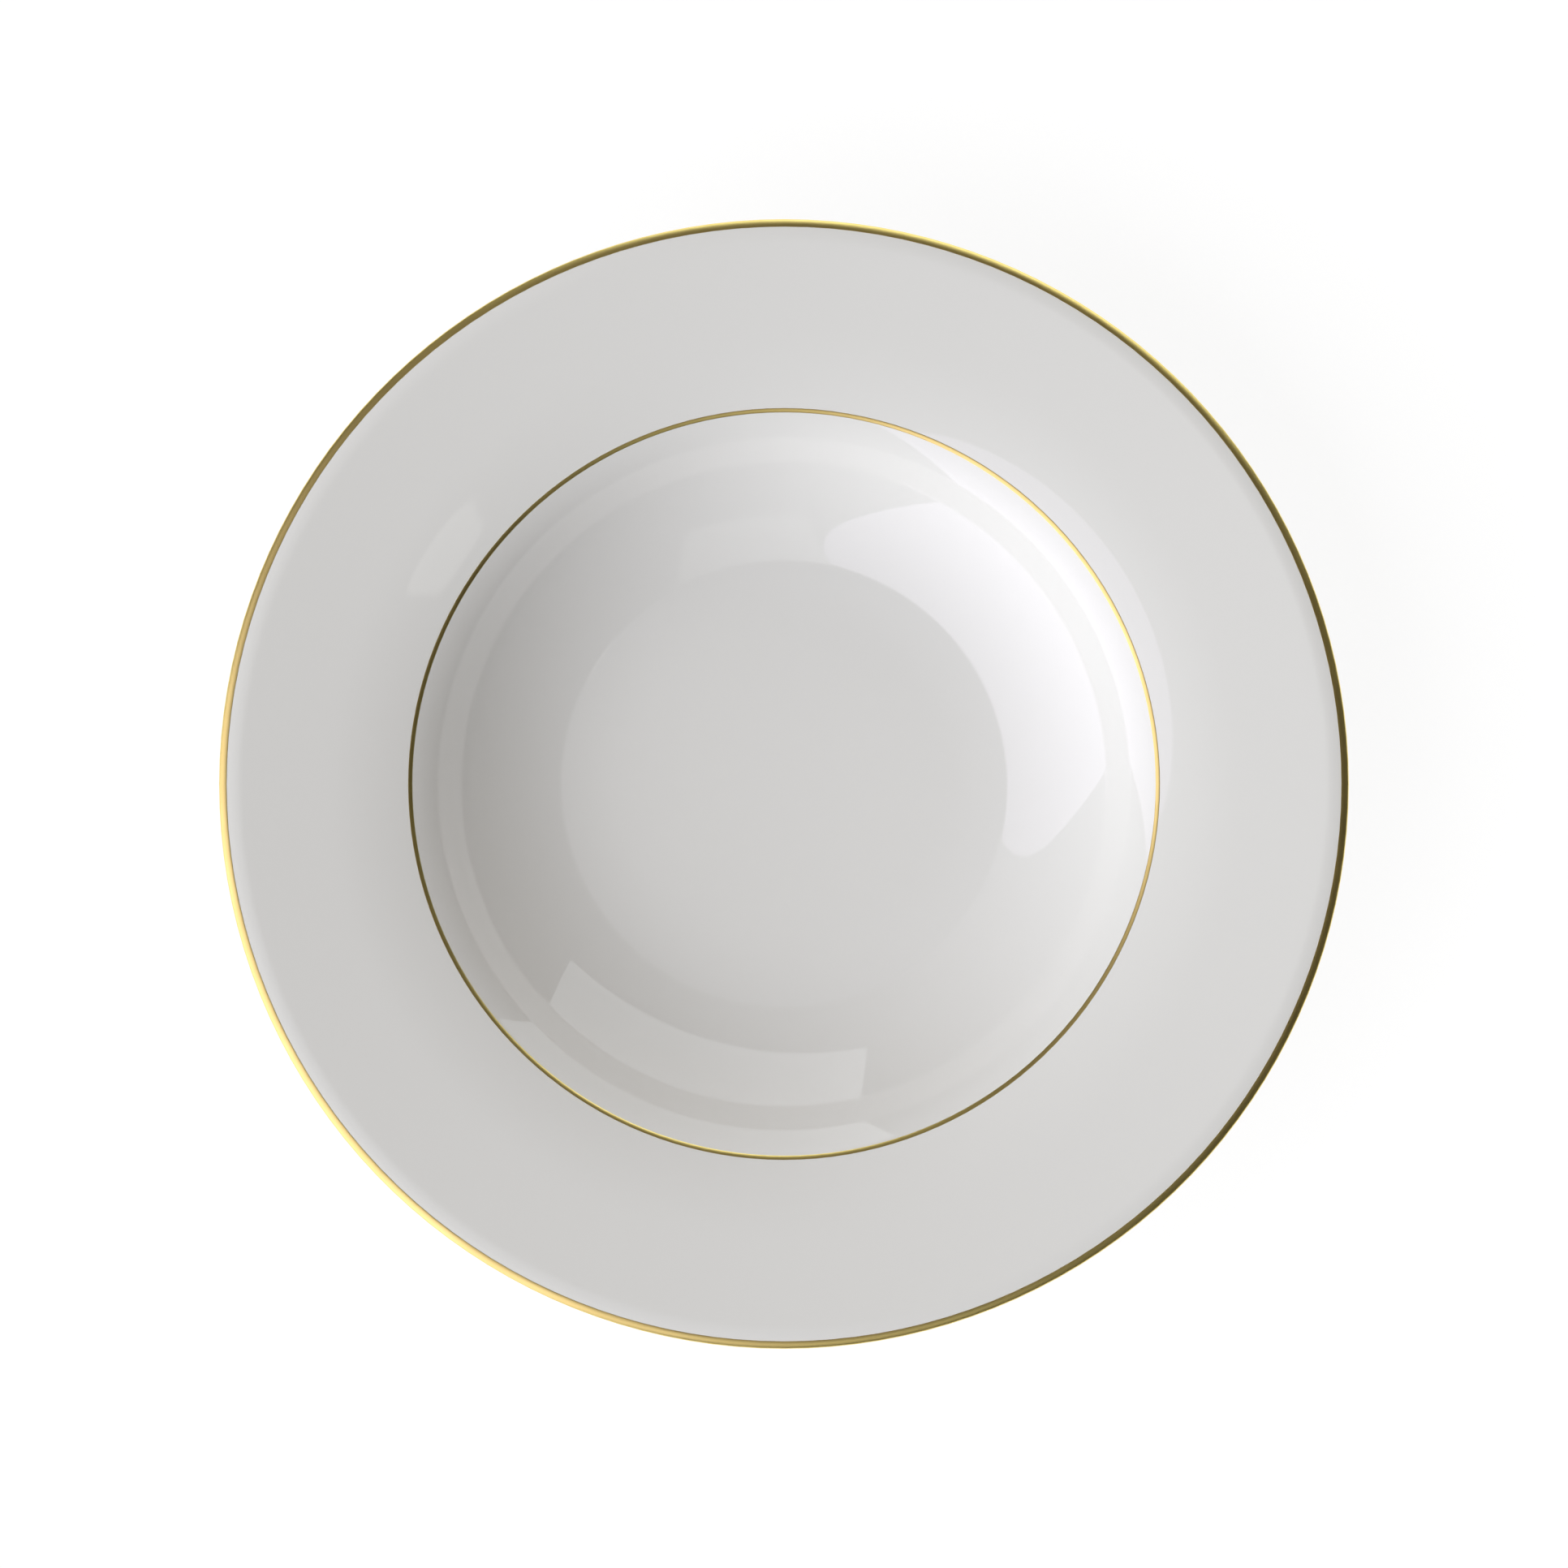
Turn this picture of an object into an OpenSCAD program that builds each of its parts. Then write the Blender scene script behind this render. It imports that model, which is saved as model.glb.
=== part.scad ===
// Rimmed soup plate of glazed porcelain with a gilded edge and a gilded line.
//
// The plate is a solid of revolution about +Z. It stands on the table at z = 0
// and its origin is the middle of the foot ring's standing face.
//
// One outline describes the glazed surface. It starts in the middle of the well
// and runs out over the floor, the wall, the flange and the lip, round the edge
// and back underneath to the foot ring. Each stretch turns evenly from one
// slope to the next, so it is a circular arc, or a cone where the slope stays.
// The porcelain lies one glaze thickness inside the outline, and the gilding
// lies one gold thickness outside it, so the layers meet face to face.

/* [Plate] */
// Diameter over the gilded edge
plate_d = 230; // [190:1:270]
// Thickness of the rounded edge
edge_t = 3.3; // [2.8:0.1:4.2]
// Thickness at the middle of the base
base_t = 4.2; // [3.4:0.1:6]
// Thickness of the steepest part of the wall
wall_t = 3.9; // [3.1:0.1:4.7]

/* [Well] */
// Diameter of the nearly flat middle of the floor
floor_flat_d = 67.8; // [50:0.2:82]
// Slope of the floor where its flat middle ends, in degrees
floor_flat_angle = 0.1; // [0.1:0.1:3]
// Diameter of the crease between the floor and the wall
floor_d = 91.8; // [76:0.2:110]
// Width over which the floor turns into the wall
floor_crease_w = 0.8; // [0.2:0.1:2]
// Slope of the floor at its crease, in degrees
floor_edge_angle = 7.5; // [5:0.5:12]
// Slope of the wall at the same crease, in degrees
wall_foot_angle = 17.6; // [13:0.1:22]
// Slope of the steepest part of the wall, in degrees
wall_angle = 46.5; // [36:0.5:54]
// Where the steepest part starts, as a share of the wall's width
steep_start_share = 0.72; // [0.6:0.01:0.86]
// Width of the steepest part, as a share of what is left of the wall's width
steep_run_share = 0.31; // [0.05:0.01:0.6]
// Slope of the wall where it meets the flange, in degrees
well_edge_angle = 29; // [22:0.5:36]
// Diameter of the crease between the wall and the flange
well_d = 152.5; // [130:0.5:180]
// Width over which the wall turns into the flange
well_crease_w = 0.5; // [0.2:0.1:0.6]

/* [Flange] */
// Slope of the flange at the crease, in degrees
flange_start_angle = 15; // [9:0.5:20]
// Slope of the straight outer part of the flange, in degrees
flange_angle = 6.4; // [3:0.1:8.5]
// Where the straight part starts, as a share of the flange's width
flange_straight_share = 0.47; // [0.2:0.01:0.8]
// Distance from the edge to the foot of the lip
lip_w = 4.8; // [4:0.1:8]
// Distance from the edge to the crest of the lip
lip_crest_w = 3.7; // [2.8:0.1:4.4]
// Slope at which the lip falls to the edge, in degrees
lip_fall_angle = 7.5; // [2:0.5:15]
// Width of the gilded shoulder, where the lip turns down to the edge
edge_w = 1.45; // [1:0.05:2]
// Slope where the shoulder ends, in degrees
edge_fall_angle = 32; // [20:1:45]
// Radius of the nose between the shoulder and the side of the edge
nose_round = 0.5; // [0.3:0.1:0.9]

/* [Foot ring] */
// Diameter where the ring leaves the back of the plate
foot_root_d = 106; // [90:0.5:126]
// Radius of the fillet between the ring and the back
foot_root_round = 2.2; // [1:0.1:3.6]
// Lean of the outer flank from upright, in degrees
foot_outer_lean = 10; // [2:0.5:20]
// Lean of the inner flank from upright, in degrees
foot_inner_lean = 25; // [10:0.5:40]
// Width of the ring where it stands
foot_w = 4; // [3:0.1:7]
// Radius of the two corners of the standing face
foot_corner_round = 0.7; // [0.2:0.1:1]
// Height of the recess under the middle of the base
recess_h = 3.1; // [2:0.1:5]
// Slope of the recess at the fillet round it, in degrees
recess_angle = 3; // [1:0.5:5]
// Radius of that fillet
recess_round = 2.2; // [1:0.1:3]

/* [Glaze] */
// Thickness of the glaze
glaze_t = 0.25; // [0.15:0.05:0.45]
// Height of the glaze line on the ring's outer flank
outer_glaze_line_h = 1.6; // [1.3:0.1:3]
// Height of the glaze line on the ring's inner flank
inner_glaze_line_h = 1.3; // [1.1:0.1:1.8]

/* [Gilding] */
// Thickness of the fired gold
gold_t = 0.15; // [0.1:0.01:0.3]
// Distance that the edge gilding laps on to the lip
band_lap = 0.1; // [0.05:0.05:1]
// How far the edge gilding wraps below the middle of the edge, in degrees
band_wrap_angle = 35; // [10:5:60]
// Width of the gilded line at the crease
line_w = 0.84; // [0.64:0.02:2]

/* [Hidden] */
$fn = 180;

// Turn from one point of an outline to the next, on wide bends, on the shoulder and on tight bends
wide_turn = 2;
shoulder_turn = 5;
tight_turn = 10;

porcelain_colour = "ivory";
glaze_colour = "whitesmoke";
gold_colour = "goldenrod";

// Radii of the stations along the face, from the middle of the well outwards
floor_flat_r = floor_flat_d / 2;
floor_r = floor_d / 2;
floor_end_r = floor_r - floor_crease_w / 2;
wall_start_r = floor_r + floor_crease_w / 2;
well_r = well_d / 2;
wall_end_r = well_r - well_crease_w / 2;
flange_start_r = well_r + well_crease_w / 2;
steep_start_r = wall_start_r + steep_start_share * (wall_end_r - wall_start_r);
steep_end_r = steep_start_r + steep_run_share * (wall_end_r - steep_start_r);
line_in_r = well_r - line_w / 2;
line_out_r = well_r + line_w / 2;
lip_start_r = plate_d / 2 - lip_w;
lip_crest_r = plate_d / 2 - lip_crest_w;
flange_straight_r = flange_start_r + flange_straight_share * (lip_start_r - flange_start_r);
floor_z = recess_h + base_t;

// The edge: a shoulder, a tight nose, and one round from there to the underside
edge_r = plate_d / 2 - gold_t;
edge_start_r = edge_r - edge_w;
nose_start_r = edge_r - nose_round * (1 - sin(edge_fall_angle));
shoulder_drop = (nose_start_r - edge_start_r) * tan((lip_fall_angle + edge_fall_angle) / 2);
under_round = edge_t - shoulder_drop - nose_round * cos(edge_fall_angle);
band_in_r = edge_start_r - band_lap;

// Slope at radius r on an even bend from slope a0 at r0 to slope a1 at r1
function slope_at(r, r0, a0, r1, a1) = asin(sin(a0) + (sin(a1) - sin(a0)) * (r - r0) / (r1 - r0));

// Points of an even bend from slope a0 at the start to slope a1 at radius r1, without the start
function bend(start, a0, a1, r1, turn) =
    let (steps = max(1, ceil(abs(a1 - a0) / turn)))
    [
        for (i = [1 : steps])
            let (
                a = a0 + (a1 - a0) * i / steps,
                run_share = a0 == a1 ? i / steps : (sin(a) - sin(a0)) / (sin(a1) - sin(a0))
            )
            start + (r1 - start[0]) * run_share * [1, tan((a0 + a) / 2)]
    ];

// Points of an arc about a centre, from angle t0 to angle t1
function arc(centre, radius, t0, t1) =
    let (steps = max(1, ceil(abs(t1 - t0) / tight_turn)))
    [for (i = [0 : steps]) let (t = t0 + (t1 - t0) * i / steps) centre + radius * [cos(t), sin(t)]];

// A list without its first point, and its last point
function rest(points) = [for (i = [1 : len(points) - 1]) points[i]];
function last(points) = points[len(points) - 1];
function reversed(points) = [for (i = [len(points) - 1 : -1 : 0]) points[i]];
function stretch(points, first, end) = [for (i = [first : end]) points[i]];

// A curve moved to its left by a gap, mitred at each point. One that starts on
// the axis meets its mirror image there.
function unit(v) = v / norm(v);
function left_of(v) = [-v[1], v[0]];
function beside(curve, gap) =
    [
        for (i = [0 : len(curve) - 1])
            let (
                here = curve[i],
                before = i == 0 ? [-curve[1][0], curve[1][1]] : curve[i - 1],
                after = i == len(curve) - 1 ? here + here - before : curve[i + 1],
                left_before = left_of(unit(here - before)),
                left_here = unit(left_before + left_of(unit(after - here)))
            )
            here + gap / (left_before * left_here) * left_here
    ];

// Face, from the middle of the well to the gilded line
line_in_angle = slope_at(line_in_r, steep_end_r, wall_angle, wall_end_r, well_edge_angle);
floor_middle = bend([0, floor_z], 0, floor_flat_angle, floor_flat_r, wide_turn);
floor_edge = bend(last(floor_middle), floor_flat_angle, floor_edge_angle, floor_end_r, wide_turn);
floor_crease = bend(last(floor_edge), floor_edge_angle, wall_foot_angle, wall_start_r, wide_turn);
wall_rise = bend(last(floor_crease), wall_foot_angle, wall_angle, steep_start_r, wide_turn);
wall_steep = bend(last(wall_rise), wall_angle, wall_angle, steep_end_r, wide_turn);
shoulder = bend(last(wall_steep), wall_angle, line_in_angle, line_in_r, wide_turn);
well_face = concat([[0, floor_z]], floor_middle, floor_edge, floor_crease, wall_rise, wall_steep, shoulder);

// Face under the gilded line, with the crease in its middle
line_out_angle = slope_at(line_out_r, flange_start_r, flange_start_angle, flange_straight_r, flange_angle);
line_inner = bend(last(shoulder), line_in_angle, well_edge_angle, wall_end_r, wide_turn);
line_crease = bend(last(line_inner), well_edge_angle, flange_start_angle, flange_start_r, wide_turn);
line_outer = bend(last(line_crease), flange_start_angle, line_out_angle, line_out_r, wide_turn);
line_face = concat(line_inner, line_crease, line_outer);

// Face from the gilded line to the edge gilding
band_in_angle = slope_at(band_in_r, lip_crest_r, 0, edge_start_r, -lip_fall_angle);
flange_curve = bend(last(line_face), line_out_angle, flange_angle, flange_straight_r, wide_turn);
flange_straight = bend(last(flange_curve), flange_angle, flange_angle, lip_start_r, wide_turn);
lip_rise = bend(last(flange_straight), flange_angle, 0, lip_crest_r, wide_turn);
lip_fall = bend(last(lip_rise), 0, band_in_angle, band_in_r, wide_turn);
flange_face = concat(flange_curve, flange_straight, lip_rise, lip_fall);

// Face under the edge gilding: the last of the lip, the shoulder, the nose and some of the round
band_lip = bend(last(lip_fall), band_in_angle, -lip_fall_angle, edge_start_r, wide_turn);
band_shoulder = bend(last(band_lip), -lip_fall_angle, -edge_fall_angle, nose_start_r, shoulder_turn);
nose_centre = last(band_shoulder) - nose_round * [sin(edge_fall_angle), cos(edge_fall_angle)];
band_nose = arc(nose_centre, nose_round, 90 - edge_fall_angle, 0);
under_centre = nose_centre + [nose_round - under_round, 0];
band_under = arc(under_centre, under_round, 0, -band_wrap_angle);
band_face = concat(band_lip, band_shoulder, rest(band_nose), rest(band_under));

// Back, from the edge to the foot ring. Its wall runs parallel to the face, and
// the straight part of its flange ends where one bend then leads into that wall.
back_edge = rest(arc(under_centre, under_round, -band_wrap_angle, flange_angle - 90));
back_start = last(back_edge);
wall_step = wall_t * [sin(wall_angle), -cos(wall_angle)];
back_steep_out = last(wall_steep) + wall_step;
back_steep_in = last(wall_rise) + wall_step;
back_foot_r = wall_start_r + wall_t * sin(wall_foot_angle);
back_bend_grade = tan((flange_angle + wall_angle) / 2);
back_drop = back_start[1] - back_steep_out[1];
back_run = back_start[0] - back_steep_out[0];
back_straight_run = (back_run * back_bend_grade - back_drop) / (back_bend_grade - tan(flange_angle));
back_straight_r = back_start[0] - back_straight_run;
foot_root_r = foot_root_d / 2;
foot_root_angle = slope_at(foot_root_r, back_foot_r, wall_foot_angle, back_steep_in[0], wall_angle);
foot_outer_angle = 90 - foot_outer_lean;
back_straight = bend(back_start, flange_angle, flange_angle, back_straight_r, wide_turn);
back_bend = bend(last(back_straight), flange_angle, wall_angle, back_steep_out[0], wide_turn);
back_wall = bend(back_steep_in, wall_angle, foot_root_angle, foot_root_r, wide_turn);
foot_flank_r = foot_root_r - foot_root_round * (sin(foot_outer_angle) - sin(foot_root_angle));
foot_fillet = bend(last(back_wall), foot_root_angle, foot_outer_angle, foot_flank_r, tight_turn);
foot_flank_run = (last(foot_fillet)[1] - outer_glaze_line_h) / tan(foot_outer_angle);
foot_flank = [[foot_flank_r - foot_flank_run, outer_glaze_line_h]];
back_face = concat(back_edge, back_straight, back_bend, [back_steep_in], back_wall, foot_fillet, foot_flank);

// The whole glazed outline, and where the two gilded stretches lie on it
glazed = concat(well_face, line_face, flange_face, band_face, back_face);
line_first = len(well_face) - 1;
line_end = line_first + len(line_face);
band_first = line_end + len(flange_face);
band_end = band_first + len(band_face);
under_glaze = beside(glazed, -glaze_t);
over_glaze = beside(glazed, gold_t);

// Glazed outline of the recess under the base, from the axis to the glaze line
// on the ring's inner flank. Its even bend ends where the fillet then leads into
// that flank.
foot_r = foot_flank[0][0] - outer_glaze_line_h / tan(foot_outer_angle);
foot_in_r = foot_r - foot_w;
foot_inner_angle = 90 - foot_inner_lean;
flank_grade = tan(foot_inner_angle);
recess_fillet_run = recess_round * (sin(foot_inner_angle) + sin(recess_angle));
recess_fillet_drop = recess_fillet_run * tan((foot_inner_angle - recess_angle) / 2);
recess_r =
    ((foot_in_r - recess_fillet_run) * flank_grade + recess_fillet_drop - recess_h)
    / (flank_grade + tan(recess_angle / 2));
recess_middle = bend([0, recess_h], 0, recess_angle, recess_r, wide_turn);
recess_fillet_r = recess_r + recess_fillet_run;
recess_fillet = bend(last(recess_middle), recess_angle, -foot_inner_angle, recess_fillet_r, tight_turn);
recess_line = [[foot_in_r - inner_glaze_line_h / flank_grade, inner_glaze_line_h]];
recess = concat([[0, recess_h]], recess_middle, recess_fillet, recess_line);
over_recess = beside(recess, glaze_t);

// Bare end of the foot ring, between the two glaze lines: a standing face with rounded corners
function corner_centre(flank_point, flank_angle, inward) =
    let (lean = (flank_point[1] - foot_corner_round) / tan(flank_angle) + foot_corner_round / sin(flank_angle))
    [flank_point[0] + inward * lean, foot_corner_round];
outer_corner = corner_centre(last(under_glaze), foot_outer_angle, -1);
inner_corner = corner_centre(last(over_recess), foot_inner_angle, 1);
bare_foot = concat(
    arc(outer_corner, foot_corner_round, foot_outer_angle - 90, -90),
    arc(inner_corner, foot_corner_round, -90, -90 - foot_inner_angle)
);

module turned(outline) {
    rotate_extrude() polygon(outline);
}

module porcelain_body() {
    color(porcelain_colour) turned(concat(under_glaze, bare_foot, reversed(over_recess)));
}

module glaze_coat() {
    color(glaze_colour) turned(concat(glazed, reversed(under_glaze)));
}

module base_glaze() {
    color(glaze_colour) turned(concat(recess, reversed(over_recess)));
}

// Fired gold on the glazed outline, from one of its points to another
module gilding(first, end) {
    color(gold_colour) turned(concat(stretch(glazed, first, end), reversed(stretch(over_glaze, first, end))));
}

module rim_gold_band() {
    gilding(band_first, band_end);
}

module well_gold_line() {
    gilding(line_first, line_end);
}

porcelain_body();
glaze_coat();
base_glaze();
rim_gold_band();
well_gold_line();
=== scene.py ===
# %% [markdown]
# # A rimmed soup plate in glazed porcelain and gold
#
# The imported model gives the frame: a plate that stands on the table at z = 0, with its axis on Z. It comes in five
# layers: the fired clay, the glaze over it, the patch of glaze inside the foot ring, and two stretches of fired
# gold. Everything here is in metres, and the plate is never moved or resized.

# %% Load the frame
import math

import bmesh
import bpy
from mathutils import Matrix, Vector


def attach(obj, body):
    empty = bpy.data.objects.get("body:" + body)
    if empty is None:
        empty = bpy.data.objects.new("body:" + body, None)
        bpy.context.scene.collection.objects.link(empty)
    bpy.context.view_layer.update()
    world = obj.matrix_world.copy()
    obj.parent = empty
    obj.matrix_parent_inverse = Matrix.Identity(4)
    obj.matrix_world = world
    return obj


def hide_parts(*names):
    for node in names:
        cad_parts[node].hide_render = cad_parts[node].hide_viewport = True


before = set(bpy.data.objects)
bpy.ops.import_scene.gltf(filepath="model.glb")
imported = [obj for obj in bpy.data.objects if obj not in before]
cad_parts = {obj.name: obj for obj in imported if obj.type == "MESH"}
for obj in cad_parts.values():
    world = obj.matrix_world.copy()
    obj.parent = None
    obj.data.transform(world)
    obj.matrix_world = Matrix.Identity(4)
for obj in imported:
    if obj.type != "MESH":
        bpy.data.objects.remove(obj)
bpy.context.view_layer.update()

print("CAD nodes:", ", ".join(sorted(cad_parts)))

# %% [markdown]
# ## The section of the plate
#
# A soup plate is jiggered: a spinning mould shapes the face while a fixed steel profile shapes the back, so the
# whole plate follows from one section. A list of points could hold that section, but it would say nothing about the
# shape. Here the section is a list of bends instead. Each bend says the heading that the outline ends on, in
# degrees, and how far from the axis it ends, in millimetres. Between two bends the outline is a circular arc, or a
# straight line where the heading stays. The headings run on past 90 degrees as the outline goes round the edge and
# back underneath.
#
# The gilding on a real plate is a few thousandths of a millimetre thick. Here it is 0.03 mm, which is as thin as a
# solid layer with soft borders can be drawn, and too thin to cast a dark line beside itself.

# %% Sizes of the section, in millimetres and degrees
MM = 0.001

# The edge, the two coats and the clay
plate_r = 115.0
edge_t, edge_w, edge_fall_angle, nose_round = 3.3, 1.45, 32.0, 0.5
glaze_t, gold_t = 0.25, 0.03
recess_h, base_t, wall_t = 3.1, 4.2, 3.9

# The well, from the middle outwards
floor_flat_r, floor_r, floor_crease_w = 33.9, 45.9, 0.8
floor_flat_angle, floor_edge_angle, wall_foot_angle = 0.1, 7.5, 17.6
wall_angle, steep_start_share, steep_run_share = 46.5, 0.72, 0.31
well_edge_angle, well_r, well_crease_w, line_w = 29.0, 76.25, 0.5, 0.84

# The flange, the lip and the gilding on the edge
flange_start_angle, flange_angle, flange_straight_share = 15.0, 6.4, 0.47
lip_w, lip_crest_w, lip_fall_angle = 4.8, 3.7, 7.5
band_lap, band_wrap_angle = 0.1, 35.0

# The foot ring and the recess inside it
foot_root_r, foot_root_round, foot_w, foot_corner_round = 53.0, 2.2, 4.0, 0.7
foot_outer_angle, foot_inner_angle = 80.0, 65.0
recess_angle, recess_round = 3.0, 2.2
outer_glaze_line_h, inner_glaze_line_h = 1.6, 1.3
print("plate", 2 * plate_r, "mm across, gilded line", 2 * well_r, "mm, floor of the well", 2 * floor_r, "mm")

# %% [markdown]
# ## Where the bends begin and end
#
# The stations follow from the sizes, from the middle of the well outwards. Two of them are sharp on a drawing and
# slightly soft on a real plate: the crease where the floor meets the wall, and the crease under the gilded line.
# Wet glaze fills the first and thins over the second, so both are short bends here. The edge isn't one round
# either: it falls away in a shoulder, turns in a tight nose, and comes back underneath in a wider round.

# %% Stations along the face
def sin(degrees):
    return math.sin(math.radians(degrees))


def cos(degrees):
    return math.cos(math.radians(degrees))


def tan(degrees):
    return math.tan(math.radians(degrees))


def heading_at(r, r0, a0, r1, a1):
    """Heading at radius r on the even bend that turns from a0 at r0 to a1 at r1."""
    return math.degrees(math.asin(sin(a0) + (sin(a1) - sin(a0)) * (r - r0) / (r1 - r0)))


floor_z = recess_h + base_t
floor_end_r, wall_start_r = floor_r - floor_crease_w / 2, floor_r + floor_crease_w / 2
wall_end_r, flange_start_r = well_r - well_crease_w / 2, well_r + well_crease_w / 2
steep_start_r = wall_start_r + steep_start_share * (wall_end_r - wall_start_r)
steep_end_r = steep_start_r + steep_run_share * (wall_end_r - steep_start_r)
line_in_r, line_out_r = well_r - line_w / 2, well_r + line_w / 2
lip_start_r, lip_crest_r = plate_r - lip_w, plate_r - lip_crest_w
flange_straight_r = flange_start_r + flange_straight_share * (lip_start_r - flange_start_r)
edge_r = plate_r - gold_t
edge_start_r, nose_start_r = edge_r - edge_w, edge_r - nose_round * (1 - sin(edge_fall_angle))
shoulder_drop = (nose_start_r - edge_start_r) * tan((lip_fall_angle + edge_fall_angle) / 2)
under_round = edge_t - shoulder_drop - nose_round * cos(edge_fall_angle)
band_in_r = edge_start_r - band_lap

line_in_angle = heading_at(line_in_r, steep_end_r, wall_angle, wall_end_r, well_edge_angle)
line_out_angle = heading_at(line_out_r, flange_start_r, flange_start_angle, flange_straight_r, flange_angle)
band_in_angle = heading_at(band_in_r, lip_crest_r, 0, edge_start_r, -lip_fall_angle)

WELL = [
    (floor_flat_angle, floor_flat_r),
    (floor_edge_angle, floor_end_r),
    (wall_foot_angle, wall_start_r),
    (wall_angle, steep_start_r),
    (wall_angle, steep_end_r),
    (line_in_angle, line_in_r),
]
UNDER_LINE = [
    (well_edge_angle, wall_end_r),
    (flange_start_angle, flange_start_r),
    (line_out_angle, line_out_r),
]
FLANGE = [
    (flange_angle, flange_straight_r),
    (flange_angle, lip_start_r),
    (0.0, lip_crest_r),
    (band_in_angle, band_in_r),
]
UNDER_BAND = [
    (-lip_fall_angle, edge_start_r),
    (-edge_fall_angle, nose_start_r),
    (-90.0, edge_r),
    (-90.0 - band_wrap_angle, edge_r - under_round * (1 - cos(band_wrap_angle))),
]
print("steepest wall from", round(steep_start_r, 2), "to", round(steep_end_r, 2), "mm from the axis")

# %% [markdown]
# ## Walking the section
#
# Blender's Spin turns an edge about an axis, and it does the same with a single vertex. So a bend is drawn by
# spinning the tip of the outline about the centre of that bend, and a straight stretch by extruding the tip. No
# stride on the face is longer than a millimetre and a half, because smooth shading blends the slopes of the two
# faces that meet at a ring, and long strides would carry that blend across the whole flange. A layer that lies one
# thickness inside another takes the same walk with an inset: every heading stays, and every bend keeps its centre.

# %% A pen that walks the section
class Pen:
    """Draws an outline in the XZ plane of a bmesh. X is the distance from the axis, and sizes are in millimetres."""

    def __init__(self, x, z, heading=0.0, inset=0.0, step=1.0, stride=1.5):
        self.bm = bmesh.new()
        self.heading, self.inset, self.step, self.stride = heading, inset, step, stride
        start = Vector((x + inset * sin(heading), 0, z - inset * cos(heading)))
        self.tip = self.bm.verts.new(start * MM)

    def at(self):
        """The tip's place on the outline itself, without the inset."""
        x, z = self.tip.co.x / MM, self.tip.co.z / MM
        return x - self.inset * sin(self.heading), z + self.inset * cos(self.heading)

    def line_to(self, x, z):
        """Goes straight to a place, and leaves the heading as it is."""
        start, end = self.tip.co.copy(), Vector((x, 0, z)) * MM
        strides = math.ceil((end - start).length / (self.stride * MM))
        for i in range(strides):
            self.tip = bmesh.ops.extrude_vert_indiv(self.bm, verts=[self.tip])["verts"][0]
            self.tip.co = start.lerp(end, (i + 1) / strides)

    def arc_to(self, heading, radius):
        """Turns to a heading about a centre on the left, or on the right if the radius is below zero."""
        turn = math.radians(heading - self.heading)
        centre = self.tip.co + Vector((-sin(self.heading), 0, cos(self.heading))) * radius * MM
        strides = max(abs(heading - self.heading) / self.step, abs(turn * radius) / self.stride)
        made = bmesh.ops.spin(
            self.bm, geom=[self.tip], cent=centre, axis=(0, -1, 0), angle=turn, steps=math.ceil(strides)
        )
        self.tip = made["geom_last"][0]
        self.heading = heading

    def bend_to(self, heading, reach):
        """Goes on to a distance from the axis, turning evenly to the given heading."""
        x, z = self.tip.co.x / MM, self.tip.co.z / MM
        reach += self.inset * sin(heading)
        if math.isclose(heading, self.heading, abs_tol=1e-6):
            self.line_to(reach, z + (reach - x) * tan(heading))
        else:
            self.arc_to(heading, (reach - x) / (sin(heading) - sin(self.heading)))

    def walk(self, bends):
        """Takes a list of bends one after another."""
        for heading, reach in bends:
            self.bend_to(heading, reach)
        return self


# %% [markdown]
# ## The back and the foot ring
#
# The back can't be seen from above. On real plates it runs parallel to the face along the wall, because clay of one
# thickness dries without cracking, and it drops into a foot ring, which is all that the plate stands on. The
# straight part of the back ends exactly where one bend then leads into the parallel wall, so its length is worked
# out.

# %% Stations along the back
scout = Pen(0, floor_z).walk(WELL[:4])
steep_in_x = scout.at()[0]
steep_out_x, steep_out_z = scout.walk(WELL[4:5]).at()
line_start = scout.walk(WELL[5:]).at()
scout.walk(UNDER_LINE).walk(FLANGE)
band_start = scout.at()
scout.walk(UNDER_BAND)
back_start_r = edge_r - under_round * (1 - sin(flange_angle))
scout.bend_to(flange_angle - 180, back_start_r)
back_start_z = scout.at()[1]
scout.bm.free()

back_out_r = steep_out_x + wall_t * sin(wall_angle)
back_in_r = steep_in_x + wall_t * sin(wall_angle)
back_foot_r = wall_start_r + wall_t * sin(wall_foot_angle)
bend_grade = tan((flange_angle + wall_angle) / 2)
back_drop = back_start_z - (steep_out_z - wall_t * cos(wall_angle))
straight_run = ((back_start_r - back_out_r) * bend_grade - back_drop) / (bend_grade - tan(flange_angle))
foot_root_angle = heading_at(foot_root_r, back_foot_r, wall_foot_angle, back_in_r, wall_angle)

BACK = [
    (flange_angle - 180, back_start_r),
    (flange_angle - 180, back_start_r - straight_run),
    (wall_angle - 180, back_out_r),
    (wall_angle - 180, back_in_r),
    (foot_root_angle - 180, foot_root_r),
]
print("gilded line starts at", [round(v, 2) for v in line_start], "mm")
print("gold on the edge starts at", [round(v, 2) for v in band_start], "mm")
print("straight part of the back under the flange:", round(straight_run, 2), "mm")

# %% [markdown]
# ## From a section to a turned solid
#
# A glaze is a skin: one surface with a thickness. So its outline is spun round the axis and given its wall by
# Solidify. The porcelain is a solid, so its outline comes back to the axis and the spin closes it. Doubles on the
# axis and at the seam are merged before the normals are made consistent, and only then does a skin get its wall.
# The gold is a brushed layer with soft borders, so its corners get a small bevel. The number of steps round the
# plate is the highest that keeps every piece under 200,000 triangles and puts a step on each axis, where it makes
# the plate exactly 230 mm wide.

# %% Spin, close and finish a mesh
ROUND_STEPS = 148
HAIR = 1e-6
SHARP = math.radians(40)


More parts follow.
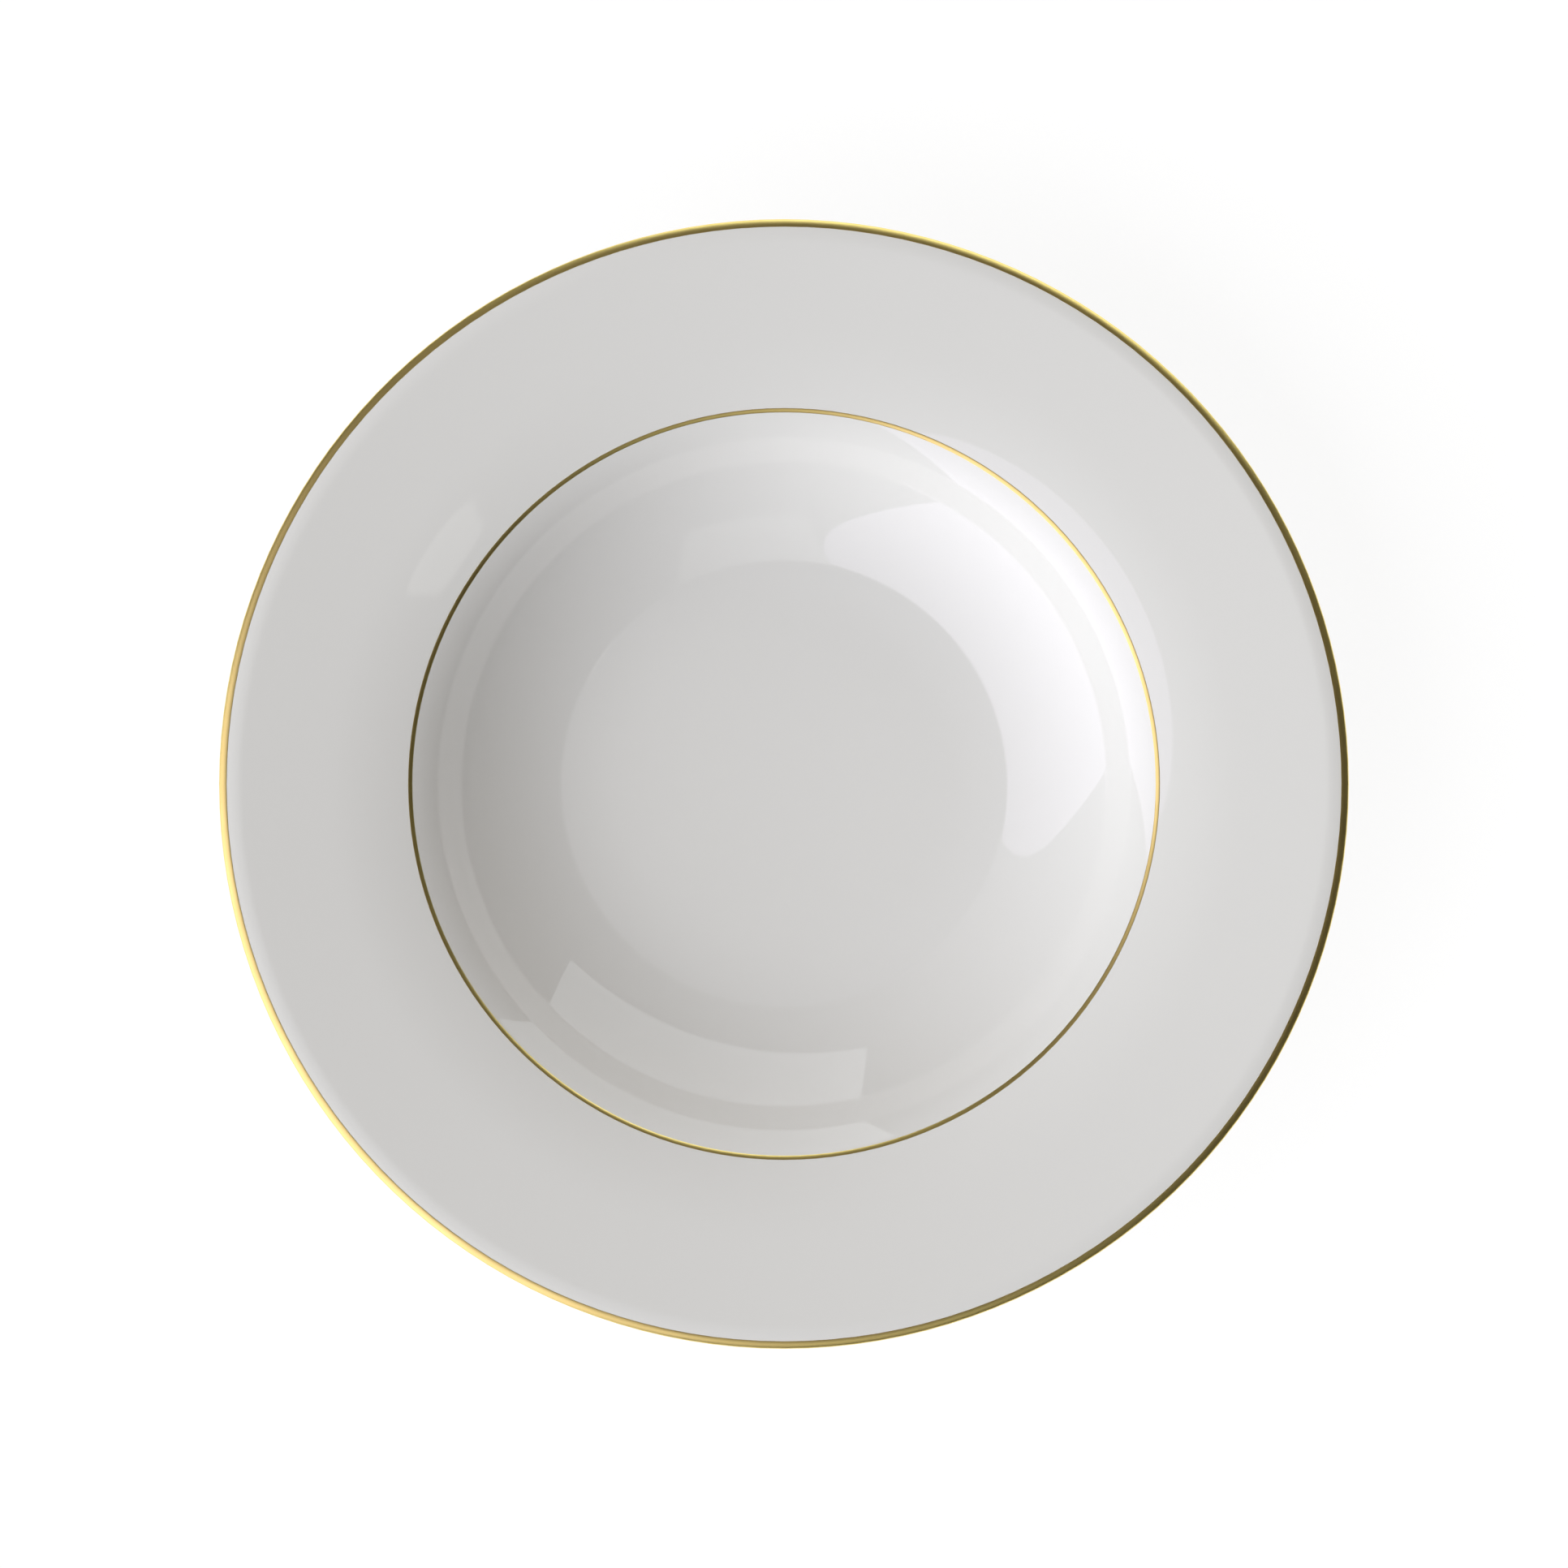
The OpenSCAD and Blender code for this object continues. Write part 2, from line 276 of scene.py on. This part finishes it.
def turned(pen, name, node, thickness=0.0, soften=0.0):
    """Spins an outline about Z, gives it a wall if it is a skin, and stands it in for a CAD node."""
    bm = pen.bm
    outline = bm.verts[:] + bm.edges[:]
    bmesh.ops.spin(bm, geom=outline, axis=(0, 0, 1), angle=math.tau, steps=ROUND_STEPS, use_merge=True)
    bmesh.ops.remove_doubles(bm, verts=bm.verts[:], dist=HAIR)
    bmesh.ops.recalc_face_normals(bm, faces=bm.faces[:])
    if thickness:
        bmesh.ops.solidify(bm, geom=bm.faces[:], thickness=thickness * MM)
        bmesh.ops.recalc_face_normals(bm, faces=bm.faces[:])
    if soften:
        corners = [edge for edge in bm.edges if edge.is_manifold and edge.calc_face_angle() > SHARP]
        bmesh.ops.bevel(bm, geom=corners, offset=soften * MM, segments=2, profile=0.5, affect="EDGES", material=-1)
    open_edges = sum(not edge.is_manifold for edge in bm.edges)
    volume = bm.calc_volume(signed=True) / MM**3
    mesh = bpy.data.meshes.new(name)
    bm.to_mesh(mesh)
    bm.free()
    mesh.shade_smooth()
    mesh.set_sharp_from_angle(angle=SHARP)
    piece = bpy.data.objects.new(name, mesh)
    bpy.context.scene.collection.objects.link(piece)
    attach(piece, "root")
    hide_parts(node)
    triangles = sum(len(face.vertices) - 2 for face in mesh.polygons)
    print(f"{name}: {triangles} triangles, {open_edges} open edges, {volume:.0f} mm3")
    return piece


# %% [markdown]
# ## The layers
#
# The pieces share the walk, so they meet face to face like the real layers. The face turns half a degree at a step,
# so its mirror images bend smoothly, and the edge and the back, which show far less, take wider steps.

# %% Glaze over the face, the edge and the back
FACE_STEP, BACK_STEP, BEND_STEP, FINE_STEP, BACK_STRIDE = 0.5, 2.0, 6.0, 3.0, 3.0


def flank_to(pen, height):
    """Goes straight down the ring's outer flank to a height."""
    x, z = pen.tip.co.x / MM, pen.tip.co.z / MM
    pen.line_to(x - (z - height) / tan(foot_outer_angle), height)


def glazed_walk(inset):
    """Walks the glazed outline from the axis to the foot of the ring's outer fillet."""
    pen = Pen(0, floor_z, inset=inset, step=FACE_STEP)
    pen.walk(WELL).walk(UNDER_LINE).walk(FLANGE)
    pen.step = BEND_STEP
    pen.walk(UNDER_BAND).walk(BACK[:1])
    pen.step, pen.stride = BACK_STEP, BACK_STRIDE
    pen.walk(BACK[1:])
    pen.step = BEND_STEP
    pen.arc_to(foot_outer_angle - 180, foot_root_round + inset)
    return pen


coat = glazed_walk(0)
flank_to(coat, outer_glaze_line_h)
flank_x, flank_z = coat.at()
glaze_coat = turned(coat, "glaze_over_face_and_back", "glaze_coat", thickness=glaze_t)

# %% Gold on the crease and round the edge
gold_bevel = 0.01
line = Pen(*line_start, heading=line_in_angle, inset=-gold_t).walk(UNDER_LINE)
well_line = turned(line, "gold_line_round_well", "well_gold_line", thickness=gold_t, soften=gold_bevel)
edge = Pen(*band_start, heading=band_in_angle, inset=-gold_t, step=FINE_STEP).walk(UNDER_BAND)
rim_band = turned(edge, "gold_band_round_edge", "rim_gold_band", thickness=gold_t, soften=gold_bevel)

# %% [markdown]
# ## Underneath
#
# The glaze stops short of the standing face on both sides of the foot ring, because it would fuse the plate to the
# kiln shelf. So the clay shows there, a little rough, with two corners that are sponged round before firing. The
# recess inside the ring has a patch of glaze of its own.

# %% Fired clay, with the bare standing face of the foot ring
foot_r = flank_x - flank_z / tan(foot_outer_angle)
foot_in_r = foot_r - foot_w
fillet_run = recess_round * (sin(foot_inner_angle) + sin(recess_angle))
fillet_drop = fillet_run * tan((foot_inner_angle - recess_angle) / 2)
flank_grade = tan(foot_inner_angle)
recess_r = (foot_in_r - fillet_run) * flank_grade + fillet_drop - recess_h
recess_r /= flank_grade + tan(recess_angle / 2)
RECESS = [
    (-180.0 - foot_inner_angle, recess_r + fillet_run),
    (recess_angle - 180, recess_r),
    (-180.0, 0.0),
]

clay = glazed_walk(glaze_t)
flank_to(clay, foot_corner_round * (1 - cos(foot_outer_angle)))
clay.arc_to(-180.0, -foot_corner_round)
stand_out = clay.tip.co.x / MM
bare_in_r = foot_in_r + glaze_t / sin(foot_inner_angle)
stand_in = bare_in_r + foot_corner_round * tan(foot_inner_angle / 2)
clay.line_to(stand_in, 0)
clay.arc_to(-180.0 - foot_inner_angle, -foot_corner_round)
clay.inset, clay.step = glaze_t, FINE_STEP
clay.walk(RECESS)
print("standing face from", round(stand_in, 2), "to", round(stand_out, 2), "mm from the axis")
body = turned(clay, "fired_clay", "porcelain_body")

# %% Glaze in the recess
patch_start = (foot_in_r - inner_glaze_line_h / flank_grade, inner_glaze_line_h)
patch = Pen(*patch_start, heading=-180.0 - foot_inner_angle, step=FINE_STEP, stride=BACK_STRIDE).walk(RECESS)
base_glaze = turned(patch, "glaze_in_recess", "base_glaze", thickness=glaze_t)

# %% [markdown]
# ## Colours and nodes
#
# Colours are easiest to judge as sRGB hex codes, but shaders work with linear light, so one function turns them. A
# second one adds a node with its settings and links, which keeps a whole material readable in a few lines. A third
# turns the real width of a grain or a cloud into the scale that a noise texture asks for, which counts per metre.

# %% Helpers for materials
def linear(code):
    """An sRGB hex colour as linear red, green, blue and alpha."""
    parts = [int(code[i : i + 2], 16) / 255 for i in (1, 3, 5)]
    return (*[c / 12.92 if c <= 0.04045 else ((c + 0.055) / 1.055) ** 2.4 for c in parts], 1.0)


def add(tree, kind, inputs=None, **settings):
    """Adds a node, sets its settings, and gives its inputs a value or a link from another node's output."""
    node = tree.nodes.new(kind)
    for key, value in settings.items():
        setattr(node, key, value)
    for key, value in (inputs or {}).items():
        if isinstance(value, bpy.types.NodeSocket):
            tree.links.new(value, node.inputs[key])
        else:
            node.inputs[key].default_value = value
    return node


def per_metre(width_mm):
    """The noise scale for a pattern with grains of this width."""
    return 1 / (width_mm * MM)


def new_material(name):
    """A material with only its Principled shader and its output."""
    material = bpy.data.materials.new(name)
    material.use_nodes = True
    return material, material.node_tree, material.node_tree.nodes["Principled BSDF"]


print("mid grey #808080 is", round(linear("#808080")[0], 4), "in linear light")

# %% [markdown]
# ## Glazed porcelain
#
# Porcelain is a white clay fired until it turns to stone and glass, under a glaze that is nearly a clear window
# glass: IOR 1.53 and a surface so smooth that lamps mirror in it with crisp edges. Two things keep it from looking
# like plastic. The clay is a very slightly warm white with clouds a few centimetres wide. The glaze surface isn't
# quite flat, because it was a liquid: it has a faint swell about a centimetre long.

# %% Material: glazed porcelain
def glazed_porcelain(name, cloud_mm=35.7, swell_mm=11.1, swell_height_mm=0.004):
    """Glossy fired glaze over white porcelain: crisp mirror images over a soft, faintly clouded white."""
    material, tree, shader = new_material(name)
    place = add(tree, "ShaderNodeTexCoord").outputs["Object"]
    cloud = add(tree, "ShaderNodeTexNoise", {"Vector": place, "Scale": per_metre(cloud_mm), "Detail": 3.0})
    tone = {"Factor": cloud.outputs["Fac"], 6: linear("#F4F3F2"), 7: linear("#F3F2F1")}
    white = add(tree, "ShaderNodeMix", tone, data_type="RGBA")
    tree.links.new(white.outputs[2], shader.inputs["Base Color"])
    swell = add(tree, "ShaderNodeTexNoise", {"Vector": place, "Scale": per_metre(swell_mm), "Detail": 1.0})
    bump = add(tree, "ShaderNodeBump", {"Height": swell.outputs["Fac"], "Distance": swell_height_mm * MM})
    tree.links.new(bump.outputs["Normal"], shader.inputs["Normal"])
    shader.inputs["Roughness"].default_value = 0.03
    shader.inputs["IOR"].default_value = 1.53
    return material


glaze_coat.data.materials.append(glazed_porcelain("glazed_porcelain"))
base_glaze.data.materials.append(glazed_porcelain("glazed_porcelain_recess"))
print("glazed:", glaze_coat.name, "and", base_glaze.name)

# %% [markdown]
# ## Fired gold
#
# Bright gold is painted on with a brush while the plate turns on a wheel, then fired and burnished. It is a metal
# film, so its colour is its reflection. The brush and the burnisher leave very fine marks that run round the plate,
# so the roughness changes from hair to hair along the radius and hardly at all along the circle. Real marks are a
# few hundredths of a millimetre wide, which no picture of a whole plate can show, so they are drawn 0.12 mm wide.

# %% Material: fired gold
def fired_gold(name, hair_mm=0.12, drift_mm=16.7, smoothest=0.3, roughest=0.42):
    """Satin gold film: a warm metal whose highlight is drawn out softly, with faint marks round the plate."""
    material, tree, shader = new_material(name)
    place = add(tree, "ShaderNodeTexCoord").outputs["Object"]
    parts = add(tree, "ShaderNodeSeparateXYZ", {"Vector": place})
    flat = add(tree, "ShaderNodeCombineXYZ", {"X": parts.outputs["X"], "Y": parts.outputs["Y"]})
    radius = add(tree, "ShaderNodeVectorMath", {0: flat.outputs["Vector"]}, operation="LENGTH")
    hair = add(tree, "ShaderNodeCombineXYZ", {"X": radius.outputs["Value"], "Y": parts.outputs["Z"]})
    fine = {"Vector": hair.outputs["Vector"], "Scale": per_metre(hair_mm), "Detail": 2.0}
    marks = add(tree, "ShaderNodeTexNoise", fine)
    drift = add(tree, "ShaderNodeTexNoise", {"Vector": place, "Scale": per_metre(drift_mm), "Detail": 2.0})
    both = add(tree, "ShaderNodeMath", {0: marks.outputs["Fac"], 1: drift.outputs["Fac"]}, operation="ADD")
    span = {"From Min": 0.6, "From Max": 1.4, "To Min": smoothest, "To Max": roughest}
    rough = add(tree, "ShaderNodeMapRange", {"Value": both.outputs["Value"], **span})
    tone = {"Factor": drift.outputs["Fac"], 6: linear("#FFEA93"), 7: linear("#F6DF88")}
    colour = add(tree, "ShaderNodeMix", tone, data_type="RGBA")
    tree.links.new(colour.outputs[2], shader.inputs["Base Color"])
    tree.links.new(rough.outputs["Result"], shader.inputs["Roughness"])
    shader.inputs["Metallic"].default_value = 1.0
    return material


gold = fired_gold("fired_burnished_gold")
well_line.data.materials.append(gold)
rim_band.data.materials.append(gold)
print("gilded:", well_line.name, "and", rim_band.name)

# %% [markdown]
# ## Bare porcelain
#
# The standing face has no glaze. Fired clay there is matt and a touch warmer, with the grain of fine sandpaper, and
# it picks up faint grey rubs from shelves and tables. Its grain is drawn a third of a millimetre wide, which is
# several times coarser than the real one, because finer grain wouldn't show.

# %% Material: bare fired clay
def bare_clay(name, grain_mm=0.35, grain_height_mm=0.06, rub_mm=6.25):
    """Matt unglazed porcelain: a dry, fine-grained surface with faint grey rubs."""
    material, tree, shader = new_material(name)
    place = add(tree, "ShaderNodeTexCoord").outputs["Object"]
    grain = add(tree, "ShaderNodeTexNoise", {"Vector": place, "Scale": per_metre(grain_mm), "Detail": 4.0})
    blotches = {"Vector": place, "Scale": per_metre(rub_mm), "Detail": 3.0, "Roughness": 0.7}
    rubs = add(tree, "ShaderNodeTexNoise", blotches)
    rubbed = add(tree, "ShaderNodeMapRange", {"Value": rubs.outputs["Fac"], "From Min": 0.5, "From Max": 0.75})
    tone = {"Factor": rubbed.outputs["Result"], 6: linear("#E4DFD4"), 7: linear("#CFC9BD")}
    colour = add(tree, "ShaderNodeMix", tone, data_type="RGBA")
    height = {"Height": grain.outputs["Fac"], "Strength": 0.6, "Distance": grain_height_mm * MM}
    bump = add(tree, "ShaderNodeBump", height)
    tree.links.new(colour.outputs[2], shader.inputs["Base Color"])
    tree.links.new(bump.outputs["Normal"], shader.inputs["Normal"])
    shader.inputs["Roughness"].default_value = 0.85
    return material


body.data.materials.append(bare_clay("bare_fired_porcelain"))
print("left bare:", body.name)

# %% [markdown]
# ## Table
#
# The table is a plain white sheet. To the camera and in mirror images it glows almost white by itself, and takes
# only a little of its brightness from the lamps, so the shadow on it stays faint, as on an evenly lit studio sweep.
# For the light that it throws up at the plate's back it is an ordinary white surface. It lies a twentieth of a
# millimetre under the foot, because two faces at exactly one height would show through each other in specks.

# %% The white table
TABLE_RADIUS, TABLE_SIDES = 60, 96
TABLE_GLOW, TABLE_GAP = 0.89, 0.05 * MM

bm = bmesh.new()
under_foot = Matrix.Translation((0, 0, -TABLE_GAP))
bmesh.ops.create_circle(bm, cap_ends=True, radius=TABLE_RADIUS, segments=TABLE_SIDES, matrix=under_foot)
table_mesh = bpy.data.meshes.new("table")
bm.to_mesh(table_mesh)
bm.free()
table = bpy.data.objects.new("table", table_mesh)
bpy.context.scene.collection.objects.link(table)
print("table:", 2 * TABLE_RADIUS, "m across")

# %% The table's sheet
def looks(tree):
    """Two outputs: one for a ray from the camera, and one for a ray that a mirror or a glass sends on."""
    path = add(tree, "ShaderNodeLightPath").outputs
    passed_on = {0: path["Is Glossy Ray"], 1: path["Is Transmission Ray"]}
    return path["Is Camera Ray"], add(tree, "ShaderNodeMath", passed_on, operation="MAXIMUM").outputs[0]


sheet, tree, shader = new_material("white_table_sheet")
camera_ray, mirror_ray = looks(tree)
look = add(tree, "ShaderNodeMath", {0: camera_ray, 1: mirror_ray}, operation="MAXIMUM").outputs[0]
glow = add(tree, "ShaderNodeMath", {0: look, 1: TABLE_GLOW}, operation="MULTIPLY").outputs[0]
tone = {"Factor": look, 6: linear("#F2F2F2"), 7: linear("#767676")}
lit = add(tree, "ShaderNodeMix", tone, data_type="RGBA").outputs[2]
shader.inputs["Roughness"].default_value = 0.9
shader.inputs["Specular IOR Level"].default_value = 0.0
shader.inputs["Emission Color"].default_value = (1, 1, 1, 1)
tree.links.new(lit, shader.inputs["Base Color"])
tree.links.new(glow, shader.inputs["Emission Strength"])
table.data.materials.append(sheet)
print("table glows at", TABLE_GLOW, "of white for the camera and in mirrors")

# %% [markdown]
# ## Light
#
# The studio has a big softbox with rounded corners to the lower left, a wide window to the upper right and a weaker
# light on either side. All of them are far away, so they mirror in the glaze as crisp shapes and light the whole
# plate evenly. Each one stands in a frame of its own: an azimuth and an elevation, with its sizes given as shares
# of its distance. The softbox leans over the plate, so its frame stands at 45 degrees, where its sides are
# straight. Its lower edge reaches below the table's height, and the table and the backdrop hide that part of it.

# %% Where a light stands
def stand(azimuth, elevation):
    """The turn whose Z axis points from the plate to a light, with its Y axis up the light's plane."""
    toward = Vector((cos(elevation) * cos(azimuth), cos(elevation) * sin(azimuth), sin(elevation)))
    return toward.to_track_quat("Z", "Y")


KEY = dict(azimuth=211.8, elevation=45, half_width=0.73, top=0.42, bottom=1.4, corner=0.5)
WINDOW = dict(azimuth=73.5, elevation=15, half_width=0.59, top=0.37, bottom=0.26, corner=0.03)
LEFT_FILL = dict(azimuth=142, elevation=45, half_width=0.35, top=0.35, bottom=0.35)
RIGHT_FILL = dict(azimuth=278, elevation=50, half_width=0.35, top=0.35, bottom=0.35)
SIDE_SHEET = dict(azimuth=278.5, elevation=46, half_width=0.2, top=0.21, bottom=0.21, corner=0.05)
SMALL_SHEET = dict(azimuth=325.5, elevation=69.5, half_width=0.042, top=0.075, bottom=0.07, corner=0.03)
print("softbox at azimuth", KEY["azimuth"], "and window at azimuth", WINDOW["azimuth"], "degrees")

# %% [markdown]
# ## The key lamp
#
# The softbox that gives most of the light is an area lamp, which Blender samples with very little noise. It can't
# have rounded corners, so it is a plain rectangle of nearly the softbox's size. It lights the plate and leaves no
# mirror image, because its image is painted on the world below, with the right corners and a strength of its own.

# %% Key lamp
KEY_LAMP = dict(azimuth=211.5, elevation=30, half_width=0.69, top=0.69, bottom=0.56)
KEY_RADIANCE, KEY_TINT = 2.445, (1.0, 1.017, 1.045)


def lamp(name, radiance, colour, azimuth, elevation, half_width, top, bottom, far=40.0):
    """A rectangular lamp without a mirror image."""
    light = bpy.data.lights.new(name, "AREA")
    light.shape = "RECTANGLE"
    light.size, light.size_y = 2 * half_width * far, (top + bottom) * far
    light.energy = radiance * math.pi * light.size * light.size_y
    light.color = colour
    stands = bpy.data.objects.new(name, light)
    bpy.context.scene.collection.objects.link(stands)
    turn = stand(azimuth, elevation)
    stands.matrix_world = turn.to_matrix().to_4x4()
    stands.location = (turn @ Vector((0, (top - bottom) / 2, 1))) * far
    stands.visible_camera = False
    stands.visible_glossy = False
    print(f"{name}: {light.size:.1f} by {light.size_y:.1f} m, {far:.0f} m away")


lamp("key_lamp", KEY_RADIANCE, KEY_TINT, **KEY_LAMP)

# %% [markdown]
# ## The rest of the studio, painted on the world
#
# The world holds what is farther off: the window, the two side lights, the dim room and the white backdrop. A real
# studio could be modelled as glowing sheets, but on the world each light is one mask, sampled well and with a crisp
# border. A mask turns the ray's direction into the light's own frame, divides by the distance along it, and keeps
# what falls inside a rectangle with rounded corners.

# %% The mask of one light
EDGE_ON, BORDER = 0.001, 0.0001


def softbox(tree, direction, azimuth, elevation, half_width, top, bottom, corner=0.0):
    """One inside a light's rectangle, as seen from the plate, and zero outside."""
    turn = stand(azimuth, elevation).to_euler()
    frame_inputs = {"Vector": direction, "Rotation": turn}
    local = add(tree, "ShaderNodeMapping", frame_inputs, vector_type="TEXTURE").outputs["Vector"]
    depth = add(tree, "ShaderNodeSeparateXYZ", {"Vector": local}).outputs["Z"]
    reach = add(tree, "ShaderNodeMath", {0: depth, 1: EDGE_ON}, operation="MAXIMUM").outputs[0]
    scale = add(tree, "ShaderNodeMath", {0: 1.0, 1: reach}, operation="DIVIDE").outputs[0]
    flat = add(tree, "ShaderNodeVectorMath", {0: local, "Scale": scale}, operation="SCALE").outputs[0]
    middle = (0, (top - bottom) / 2, 1)
    offset = add(tree, "ShaderNodeVectorMath", {0: flat, 1: middle}, operation="SUBTRACT").outputs[0]
    size = add(tree, "ShaderNodeVectorMath", {0: offset}, operation="ABSOLUTE").outputs[0]
    core = (half_width - corner, (top + bottom) / 2 - corner, 0)
    beyond = add(tree, "ShaderNodeVectorMath", {0: size, 1: core}, operation="SUBTRACT").outputs[0]
    outside = add(tree, "ShaderNodeVectorMath", {0: beyond, 1: (0, 0, 0)}, operation="MAXIMUM").outputs[0]
    distance = add(tree, "ShaderNodeVectorMath", {0: outside}, operation="LENGTH").outputs["Value"]
    return add(tree, "ShaderNodeMath", {0: distance, 1: corner + BORDER}, operation="LESS_THAN").outputs[0]


def laid_over(tree, under, mask, colour):
    """A look with one light's colour in place of what is behind it."""
    return add(tree, "ShaderNodeMix", {"Factor": mask, 6: under, 7: (*colour, 1)}, data_type="RGBA").outputs[2]


# %% [markdown]
# ## Light that reaches the plate
#
# Three looks share the masks. The first is for rays that carry light to the plate: a dim room, a weak light on
# either side, and the window. These colours are levels of linear light and not hex codes, because a lamp is
# brighter than white paper.

# %% The first look of the world
ROOM, LEFT, RIGHT = (0.133, 0.126, 0.112), (0.31, 0.303, 0.29), (0.64, 0.632, 0.617)
WINDOW_LIGHT = (1.68, 1.635, 1.549)
WHITE = (1, 1, 1)

world = bpy.data.worlds.new("studio")
world.use_nodes = True
tree = world.node_tree
camera_ray, mirror_ray = looks(tree)
direction = add(tree, "ShaderNodeTexCoord").outputs["Generated"]
height = add(tree, "ShaderNodeSeparateXYZ", {"Vector": direction}).outputs["Z"]
window = softbox(tree, direction, **WINDOW)

room = add(tree, "ShaderNodeRGB").outputs[0]
room.default_value = (*ROOM, 1)
room = laid_over(tree, room, softbox(tree, direction, **LEFT_FILL), LEFT)
room = laid_over(tree, room, softbox(tree, direction, **RIGHT_FILL), RIGHT)
room = laid_over(tree, room, window, WINDOW_LIGHT)
print("the window gives", round(WINDOW_LIGHT[0] / ROOM[0], 1), "times the light of the room")

# %% [markdown]
# ## Mirror images
#
# The second look is for rays that a mirror or a glass sends on. The room is nearly dark near the table and brighter
# overhead, most of all on the left. Two faint reflector sheets, the softbox and the window lie over it, all a
# little stronger low down than overhead. Near the horizon it is white, where the backdrop is. The camera has the
# third look, and sees plain white.

# %% The other two looks
DARK, DIM = (0.015, 0.013, 0.012), (0.13, 0.117, 0.113)
SIDE_IMAGE, SMALL_IMAGE = (0.6, 0.6, 0.58), (1.1, 1.1, 1.06)
KEY_IMAGE, WINDOW_IMAGE = (1.55, 1.42, 1.76), (1.42, 1.46, 1.5)
OVERHEAD, BACKDROP_HEIGHT, LIT_AZIMUTH = 0.8, 0.04, 150

rise = add(tree, "ShaderNodeMapRange", {"Value": height, "From Max": OVERHEAD}).outputs["Result"]
lit_side = {0: direction, 1: (cos(LIT_AZIMUTH), sin(LIT_AZIMUTH), 0)}
side = add(tree, "ShaderNodeVectorMath", lit_side, operation="DOT_PRODUCT").outputs["Value"]
span = {"Value": side, "From Min": -0.6, "From Max": 0.6, "To Min": 0.35, "To Max": 1.3}
level = add(tree, "ShaderNodeMapRange", span).outputs["Result"]
dim = add(tree, "ShaderNodeMath", {0: rise, 1: level}, operation="MULTIPLY").outputs[0]
dusk = {"Factor": dim, 6: (*DARK, 1), 7: (*DIM, 1)}
mirrored = add(tree, "ShaderNodeMix", dusk, data_type="RGBA", clamp_factor=False).outputs[2]
mirrored = laid_over(tree, mirrored, softbox(tree, direction, **SIDE_SHEET), SIDE_IMAGE)
mirrored = laid_over(tree, mirrored, softbox(tree, direction, **SMALL_SHEET), SMALL_IMAGE)
mirrored = laid_over(tree, mirrored, softbox(tree, direction, **KEY), KEY_IMAGE)
mirrored = laid_over(tree, mirrored, window, WINDOW_IMAGE)
fall = {"Value": height, "From Max": OVERHEAD, "To Min": 1.2, "To Max": 0.85}
fading = add(tree, "ShaderNodeMapRange", fall).outputs["Result"]
mirrored = add(tree, "ShaderNodeVectorMath", {0: mirrored, "Scale": fading}, operation="SCALE").outputs[0]
backdrop = add(tree, "ShaderNodeMath", {0: height, 1: BACKDROP_HEIGHT}, operation="LESS_THAN").outputs[0]
mirrored = laid_over(tree, mirrored, backdrop, WHITE)

indoors = add(tree, "ShaderNodeMix", {"Factor": mirror_ray, 6: room, 7: mirrored}, data_type="RGBA").outputs[2]
studio = laid_over(tree, indoors, camera_ray, WHITE)
tree.links.new(studio, tree.nodes["Background"].inputs["Color"])
bpy.context.scene.world = world
print("the world has", len(tree.nodes), "nodes")

# %% [markdown]
# ## Camera
#
# The photograph looks straight down along the plate's axis, so every circle stays a circle. A long lens more than
# two metres up gives that view, and its focal length follows from the picture's width on the rim.

# %% Camera
IMAGE_PX, PLATE_PX = 1932, 1392.6
CAMERA_RISE = 2.2
view_width = 2 * plate_r * MM * IMAGE_PX / PLATE_PX
lens = bpy.data.cameras.new("camera")
lens.sensor_width = 36
lens.lens = lens.sensor_width * CAMERA_RISE / view_width
lens.clip_end = 200
camera = bpy.data.objects.new("camera", lens)
bpy.context.scene.collection.objects.link(camera)
camera.location = (0, 0, band_start[1] * MM + CAMERA_RISE)
bpy.context.scene.camera = camera
bpy.context.scene.view_settings.view_transform = "Standard"
print("view is", round(view_width / MM, 2), "mm wide at the rim, lens", round(lens.lens, 1), "mm")
